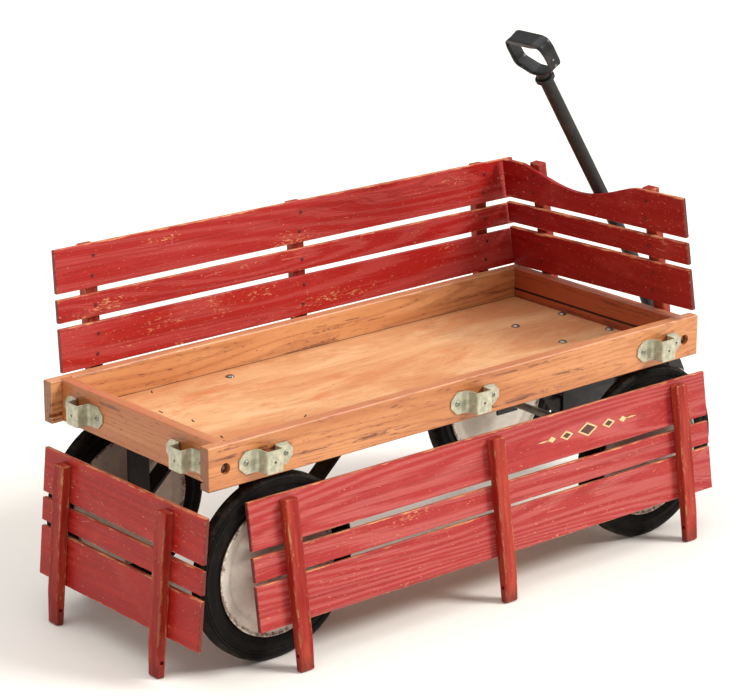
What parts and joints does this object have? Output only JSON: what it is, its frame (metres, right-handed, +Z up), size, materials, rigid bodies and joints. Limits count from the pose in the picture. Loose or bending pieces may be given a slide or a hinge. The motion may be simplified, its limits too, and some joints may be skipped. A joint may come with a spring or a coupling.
{
  "type": "kids pull wagon",
  "caption": "Child's pull wagon: wooden bed with removable slatted stake panels, turning front axle with folding loop-grip handle, and pressed-disc wheels with rubber tyres.",
  "frame": {"origin": "on the floor, under the centre of the overall bounding box", "axes": "+X along the bed towards the pull handle, +Y to the wagon's left, +Z up"},
  "size_m": [1.1195, 0.4648, 0.7504],
  "materials": {
    "varnished_wood": "worn orange-tan varnish, pink stain along the edges",
    "plywood": "blotchy unpainted plywood, satin",
    "cleat_wood": "bare softwood",
    "slat_paint": "scratched red paint on wood",
    "stake_paint": "scratched red paint on wood",
    "bracket_steel": "worn grey-green paint on pressed steel",
    "black_steel": "black paint, satin",
    "handle_steel": "worn black paint on steel tube",
    "bare_steel": "dull plated steel",
    "tyre": "matte black rubber",
    "wheel_disc": "cream paint with rust flecks on pressed steel"
  },
  "bodies": {
    "bed": {"side_board_right": "varnished_wood", "side_board_left": "varnished_wood", "end_board_rear": "varnished_wood", "end_board_front": "varnished_wood", "floor_panel": "plywood", "rear_cleat": "cleat_wood", "stake_bracket_right_1": "bracket_steel", "stake_bracket_right_2": "bracket_steel", "stake_bracket_right_3": "bracket_steel", "stake_bracket_left_1": "bracket_steel", "stake_bracket_left_2": "bracket_steel", "stake_bracket_left_3": "bracket_steel", "stake_bracket_rear_1": "bracket_steel", "stake_bracket_rear_2": "bracket_steel", "stake_bracket_front_1": "bracket_steel", "stake_bracket_front_2": "bracket_steel", "rear_axle_hanger": "black_steel", "rear_axle": "bare_steel", "rear_brace_right": "black_steel", "rear_brace_left": "black_steel", "bolster_plate": "black_steel", "kingpin": "bare_steel"},
    "front_truck": {"front_axle_hanger": "black_steel", "front_axle": "bare_steel", "tongue": "black_steel", "tongue_yoke": "black_steel"},
    "handle": {"handle_fork": "handle_steel", "handle_shaft": "handle_steel", "handle_grip": "handle_steel", "handle_pivot_bolt": "bare_steel"},
    "left_panel": {"left_panel_bottom_slat": "slat_paint", "left_panel_middle_slat": "slat_paint", "left_panel_top_slat": "slat_paint", "left_panel_stake_1": "stake_paint", "left_panel_stake_2": "stake_paint", "left_panel_stake_3": "stake_paint"},
    "front_panel": {"front_panel_bottom_slat": "slat_paint", "front_panel_middle_slat": "slat_paint", "front_panel_top_slat": "slat_paint", "front_panel_stake_1": "stake_paint", "front_panel_stake_2": "stake_paint"},
    "right_panel": {"right_panel_bottom_slat": "slat_paint", "right_panel_middle_slat": "slat_paint", "right_panel_top_slat": "slat_paint", "right_panel_stake_1": "stake_paint", "right_panel_stake_2": "stake_paint", "right_panel_stake_3": "stake_paint"},
    "rear_panel": {"rear_panel_bottom_slat": "slat_paint", "rear_panel_middle_slat": "slat_paint", "rear_panel_top_slat": "slat_paint", "rear_panel_stake_1": "stake_paint", "rear_panel_stake_2": "stake_paint"},
    "rear_left_wheel": {"rear_left_wheel_tyre": "tyre", "rear_left_wheel_disc": "wheel_disc"},
    "rear_right_wheel": {"rear_right_wheel_tyre": "tyre", "rear_right_wheel_disc": "wheel_disc"},
    "front_left_wheel": {"front_left_wheel_tyre": "tyre", "front_left_wheel_disc": "wheel_disc"},
    "front_right_wheel": {"front_right_wheel_tyre": "tyre", "front_right_wheel_disc": "wheel_disc"}
  },
  "joints": [
    {"name": "steering", "type": "hinge", "parent": "bed", "child": "front_truck", "pos_m": [0.3039, 0.01065, 0.25], "axis": [0, 0, 1], "range_deg": [-7, 7]},
    {"name": "handle_fold", "type": "hinge", "parent": "front_truck", "child": "handle", "pos_m": [0.5469, 0.01065, 0.1655], "axis": [0, 1, 0], "range_deg": [0, 125]},
    {"name": "left_panel_lift", "type": "slide", "parent": "bed", "child": "left_panel", "axis": [0.0073, 0.0767, 0.997], "range_m": [0, 0.07]},
    {"name": "front_panel_lift", "type": "slide", "parent": "bed", "child": "front_panel", "axis": [-0.1304, 0.0366, 0.9908], "range_m": [0, 0.0025]},
    {"name": "right_panel_tip", "type": "hinge", "parent": "bed", "child": "right_panel", "pos_m": [-0.45315, -0.22893, 0.00164], "axis": [1, -0.0044, 0], "range_deg": [0, 88]},
    {"name": "rear_panel_tip", "type": "hinge", "parent": "bed", "child": "rear_panel", "pos_m": [-0.55975, 0.01065, 0.00104], "axis": [0, -1, 0], "range_deg": [0, 88]},
    {"name": "rear_left_wheel_spin", "type": "hinge", "parent": "bed", "child": "rear_left_wheel", "pos_m": [-0.3921, 0.17915, 0.132], "axis": [0, 1, 0], "continuous": true},
    {"name": "rear_right_wheel_spin", "type": "hinge", "parent": "bed", "child": "rear_right_wheel", "pos_m": [-0.3921, -0.15785, 0.132], "axis": [0, 1, 0], "continuous": true},
    {"name": "front_left_wheel_spin", "type": "hinge", "parent": "front_truck", "child": "front_left_wheel", "pos_m": [0.3149, 0.17915, 0.132], "axis": [0, 1, 0], "continuous": true},
    {"name": "front_right_wheel_spin", "type": "hinge", "parent": "front_truck", "child": "front_right_wheel", "pos_m": [0.3149, -0.15785, 0.132], "axis": [0, 1, 0], "continuous": true}
  ]
}
